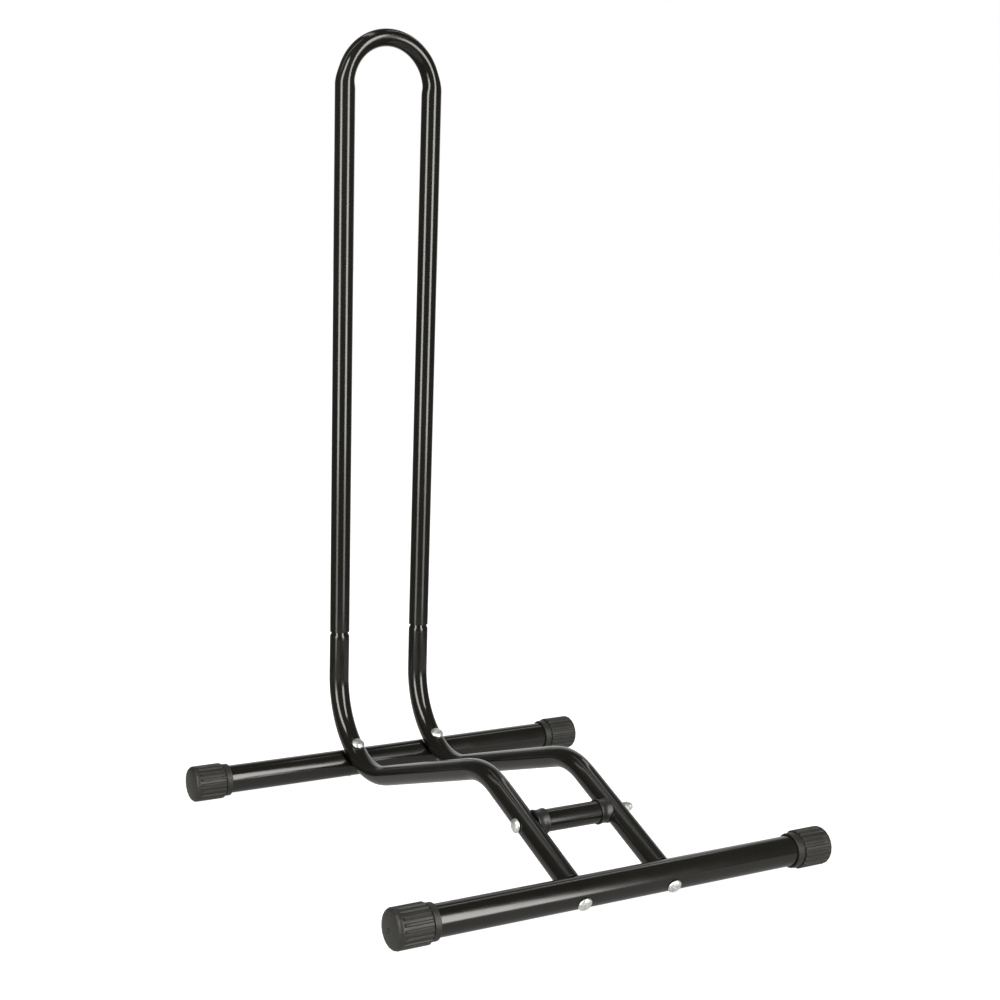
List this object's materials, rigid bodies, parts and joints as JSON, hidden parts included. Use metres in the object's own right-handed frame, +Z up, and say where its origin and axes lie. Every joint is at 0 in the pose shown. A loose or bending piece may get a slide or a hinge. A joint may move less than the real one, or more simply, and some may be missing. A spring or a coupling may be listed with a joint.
{
  "type": "bicycle wheel floor stand",
  "caption": "Free-standing floor stand for a bicycle wheel: a tall inverted-U hoop plugged onto bent tubular rails that are bolted to front and rear cross tubes with ribbed rubber end caps.",
  "frame": {"origin": "centre of the bounding box at floor level, under the middle of the stand", "axes": "+X along the cross tubes, +Y from the front cross tube towards the hoop, +Z up"},
  "size_m": [0.51, 0.5392, 0.8525],
  "materials": {
    "frame_paint": "gloss black powder coat",
    "cap_rubber": "matt moulded rubber",
    "saddle_plastic": "satin moulded plastic",
    "zinc_hardware": "bright zinc plate"
  },
  "bodies": {
    "stand": {"left_rail": "frame_paint", "right_rail": "frame_paint", "front_cross_tube": "frame_paint", "rear_cross_tube": "frame_paint", "spacer_tube": "frame_paint", "front_cap_left": "cap_rubber", "front_cap_right": "cap_rubber", "rear_cap_left": "cap_rubber", "rear_cap_right": "cap_rubber", "spacer_saddle_left": "saddle_plastic", "spacer_saddle_right": "saddle_plastic", "front_bolt_left": "zinc_hardware", "front_bolt_right": "zinc_hardware", "rail_end_insert_left": "zinc_hardware", "rail_end_insert_right": "zinc_hardware", "rear_bolt_left": "zinc_hardware", "rear_bolt_right": "zinc_hardware", "rear_nut_left": "zinc_hardware", "rear_nut_right": "zinc_hardware", "spacer_bolt": "zinc_hardware", "spacer_cap_nut": "zinc_hardware"},
    "hoop": {"upper_hoop": "frame_paint"}
  },
  "joints": [
    {"name": "hoop_lift", "type": "slide", "parent": "stand", "child": "hoop", "axis": [0, 0, 1], "range_m": [0, 0.06]}
  ]
}
